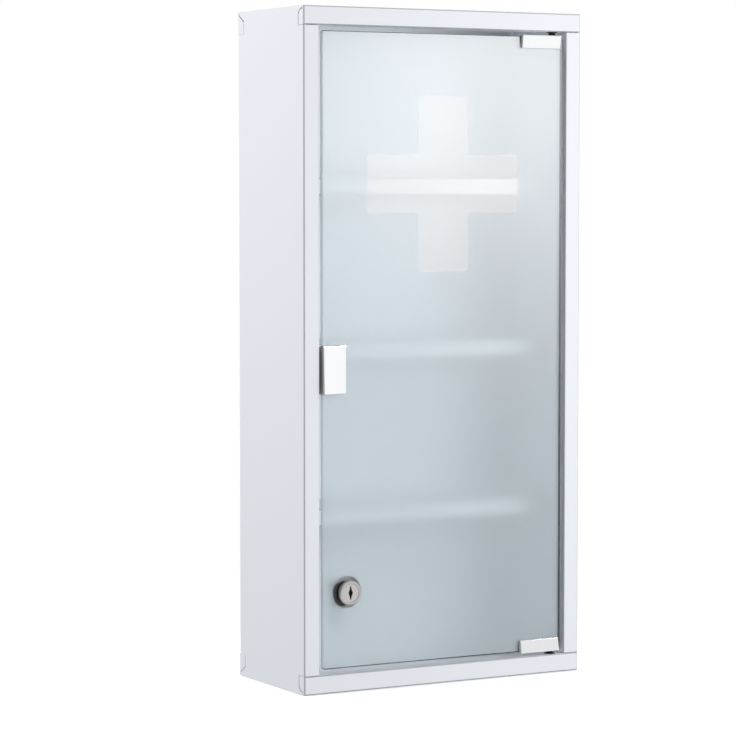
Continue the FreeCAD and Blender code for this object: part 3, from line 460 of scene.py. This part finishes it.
class CABINET_OT_catch(bpy.types.Operator):
    """Finish the magnetic catch"""
    bl_idname = "cabinet.catch"
    bl_label = "Catch"

    def execute(self, context):
        trim = context.scene.cabinet_trim
        # Moulded: even and half matt.
        dress(plain_material("White nylon", trim.catch, MOULDED), "catch_housing")
        # Pressed and sintered: charcoal grey and matt.
        dress(plain_material("Ferrite", trim.magnet, SINTERED), "catch_magnet")
        dress(zinc_plate(context.scene.cabinet_metal), "catch_pole_plates", "catch_screws")
        return {"FINISHED"}


class CABINET_OT_lock(bpy.types.Operator):
    """Finish the cam lock"""
    bl_idname = "cabinet.lock"
    bl_label = "Lock"

    def execute(self, context):
        metal = context.scene.cabinet_metal
        dress(nickel_plate(metal), "lock_housing", "lock_plug", "lock_nut")
        dress(zinc_plate(metal), "lock_washer", "lock_cam", "cam_washer", "cam_screw")
        # Moulded soft: black and quite matt.
        dress(plain_material("Black rubber", context.scene.cabinet_trim.gasket, RUBBERY), "lock_gasket")
        return {"FINISHED"}


def soft_light(name, power, target=CABINET_FRONT):
    """A square soft light aimed at the cabinet."""
    place, size = LAMPS[name]
    lamp = bpy.data.lights.new(name, "AREA")
    lamp.shape = "SQUARE"
    lamp.size = size
    lamp.energy = power
    holder = bpy.data.objects.new(name, lamp)
    holder.location = place
    holder.rotation_euler = (Vector(target) - Vector(place)).to_track_quat("-Z", "Y").to_euler()
    bpy.context.scene.collection.objects.link(holder)
    return holder


def mirrored_only(lamp, *names):
    """Keep a lamp to what these pieces mirror of it."""
    pieces = bpy.data.collections.new(lamp.name)
    for name in names:
        pieces.objects.link(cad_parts[name])
    lamp.light_linking.receiver_collection = pieces
    lamp.visible_diffuse = False


def studio_lights(stage):
    """Soft lights that no piece mirrors, a card that the bright metal mirrors, and a light for the glass."""
    for lamp in (soft_light("key_light", stage.key_power),
                 soft_light("near_light", stage.near_power),
                 soft_light("fill_light", stage.fill_power)):
        lamp.visible_glossy = False
    card = soft_light("bright_card", stage.card_power)
    mirrored_only(card, "top_hinge_clamp", "bottom_hinge_clamp", "handle_clip", "lock_housing", "lock_plug")
    sheen = soft_light("sheen_light", stage.sheen_power, target=GLASS_SPOT)
    sheen.data.color = stage.sheen
    # The lock's washer shows through the glass.
    mirrored_only(sheen, "door_glass", "lock_washer")


def studio_world(stage):
    """A plain pale background that shiny pieces mirror darker at the left and above, and soft light from all
    round that is weaker from below and from the dark side."""
    world = bpy.data.worlds.new("Studio")
    world.use_nodes = True
    tree = world.node_tree
    tree.nodes.clear()
    direction = add_node(tree, "ShaderNodeTexCoord").outputs["Generated"]
    way = add_node(tree, "ShaderNodeSeparateXYZ", (direction,)).outputs
    low_level = stage.ambient_level * stage.ambient_below
    by_height = add_node(tree, "ShaderNodeMapRange",
                         (way["Z"], *BELOW_TO_ABOVE, low_level, stage.ambient_level))
    towards_dark = add_node(tree, "ShaderNodeVectorMath", (direction, DARK_SIDE), operation="DOT_PRODUCT")
    by_side = add_node(tree, "ShaderNodeMapRange",
                       (towards_dark.outputs["Value"], *BESIDE_TO_DARK, 1.0, stage.ambient_dark))
    light_level = add_node(tree, "ShaderNodeMath", (by_height, by_side), operation="MULTIPLY")
    from_left = add_node(tree, "ShaderNodeMapRange", (way["X"], *LEFT_TO_MIDDLE, stage.mirror_left, 1.0))
    from_above = add_node(tree, "ShaderNodeMapRange", (way["Z"], *LEVEL_TO_ABOVE, 1.0, stage.mirror_above))
    mirror_level = add_node(tree, "ShaderNodeMath", (from_left, from_above), operation="MULTIPLY")
    light = add_node(tree, "ShaderNodeBackground", (rgba(stage.ambient), light_level))
    mirror = add_node(tree, "ShaderNodeBackground", (rgba(stage.background), mirror_level))
    seen = add_node(tree, "ShaderNodeBackground", (rgba(stage.background), 1.0))
    rays = add_node(tree, "ShaderNodeLightPath").outputs
    unseen = add_node(tree, "ShaderNodeMixShader", (rays["Is Glossy Ray"], light, mirror))
    sky = add_node(tree, "ShaderNodeMixShader", (rays["Is Camera Ray"], unseen, seen))
    add_node(tree, "ShaderNodeOutputWorld", (sky,))
    return world


def floor_material(stage):
    """A lit table of cast acrylic: matt white, fading into the background, and not seen from below."""
    material, tree = new_material("Lit white acrylic")
    place = add_node(tree, "ShaderNodeTexCoord").outputs["Object"]
    distance = add_node(tree, "ShaderNodeVectorMath", (place,), operation="LENGTH").outputs["Value"]
    fade_start = stage.floor_reach * FLOOR_FULL
    fade = add_node(tree, "ShaderNodeMapRange", (distance, fade_start, stage.floor_reach),
                    interpolation_type="SMOOTHSTEP")
    sheet = add_node(tree, "ShaderNodeBsdfDiffuse", {"Color": rgba(stage.floor)})
    seen = add_node(tree, "ShaderNodeLightPath").outputs["Is Camera Ray"]
    level = add_node(tree, "ShaderNodeMath", (seen, stage.floor_glow), operation="MULTIPLY")
    glow = add_node(tree, "ShaderNodeEmission", {"Color": rgba(stage.floor), "Strength": level})
    table = add_node(tree, "ShaderNodeAddShader", (sheet, glow))
    from_below = add_node(tree, "ShaderNodeNewGeometry").outputs["Backfacing"]
    gone = add_node(tree, "ShaderNodeMath", (fade, from_below), operation="MAXIMUM")
    nothing = add_node(tree, "ShaderNodeBsdfTransparent")
    top = add_node(tree, "ShaderNodeMixShader", (gone, table, nothing))
    add_node(tree, "ShaderNodeOutputMaterial", (top,))
    return material


def studio_floor(stage):
    """A pale floor just under the cabinet."""
    reach = stage.floor_reach
    corners = [(-reach, -reach, 0), (reach, -reach, 0), (reach, reach, 0), (-reach, reach, 0)]
    mesh = bpy.data.meshes.new("studio_floor")
    mesh.from_pydata(corners, [], [(0, 1, 2, 3)])
    mesh.materials.append(floor_material(stage))
    floor = bpy.data.objects.new("studio_floor", mesh)
    floor.location = (0.0, CAD_BOX[0][1] / 2, CAD_BOX[0][2] - FLOOR_GAP)
    floor.visible_diffuse = False
    bpy.context.scene.collection.objects.link(floor)


def studio_camera(stage):
    """A camera in front of the cabinet, to its left and a little above its middle."""
    lens = bpy.data.cameras.new("camera")
    lens.sensor_width = CAMERA_SENSOR
    lens.lens = stage.lens
    camera = bpy.data.objects.new("camera", lens)
    camera.location = CAMERA_PLACE
    camera.rotation_euler = (CAMERA_TILT, 0.0, CAMERA_TURN)
    bpy.context.scene.collection.objects.link(camera)
    return camera


class CABINET_OT_stage(bpy.types.Operator):
    """Set up the studio: floor, light and camera"""
    bl_idname = "cabinet.stage"
    bl_label = "Studio"

    def execute(self, context):
        scene = context.scene
        stage = scene.cabinet_stage
        scene.world = studio_world(stage)
        scene.view_settings.view_transform = "Standard"
        studio_floor(stage)
        studio_lights(stage)
        scene.camera = studio_camera(stage)
        return {"FINISHED"}


OPERATORS = (
    CABINET_OT_case,
    CABINET_OT_shelves,
    CABINET_OT_glass,
    CABINET_OT_hinges,
    CABINET_OT_handle,
    CABINET_OT_catch,
    CABINET_OT_lock,
    CABINET_OT_stage,
)
SETTINGS = {
    "cabinet_paint": CabinetPaint,
    "cabinet_glass": CabinetGlass,
    "cabinet_metal": CabinetMetal,
    "cabinet_trim": CabinetTrim,
    "cabinet_stage": CabinetStage,
}


class CABINET_PT_looks(bpy.types.Panel):
    """Lists the cabinet's pieces and their settings"""
    bl_idname = "CABINET_PT_looks"
    bl_label = "Medicine Cabinet"
    bl_space_type = "VIEW_3D"
    bl_region_type = "UI"
    bl_category = "Cabinet"

    def draw(self, context):
        for name, group in SETTINGS.items():
            box = self.layout.box()
            for setting in group.__annotations__:
                box.prop(getattr(context.scene, name), setting)
        for operator in OPERATORS:
            self.layout.operator(operator.bl_idname)


def register():
    """Add the settings, operators and panel."""
    for group in SETTINGS.values():
        bpy.utils.register_class(group)
    for operator in OPERATORS:
        bpy.utils.register_class(operator)
    bpy.utils.register_class(CABINET_PT_looks)
    for name, group in SETTINGS.items():
        setattr(bpy.types.Scene, name, PointerProperty(type=group))


def unregister():
    """Take the settings, operators and panel away."""
    for name in SETTINGS:
        delattr(bpy.types.Scene, name)
    bpy.utils.unregister_class(CABINET_PT_looks)
    for operator in reversed(OPERATORS):
        bpy.utils.unregister_class(operator)
    for group in reversed(list(SETTINGS.values())):
        bpy.utils.unregister_class(group)


def main():
    """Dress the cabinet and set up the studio."""
    register()
    bpy.ops.cabinet.case()
    bpy.ops.cabinet.shelves()
    bpy.ops.cabinet.glass()
    bpy.ops.cabinet.hinges()
    bpy.ops.cabinet.handle()
    bpy.ops.cabinet.catch()
    bpy.ops.cabinet.lock()
    bpy.ops.cabinet.stage()


if __name__ == "__main__":
    main()
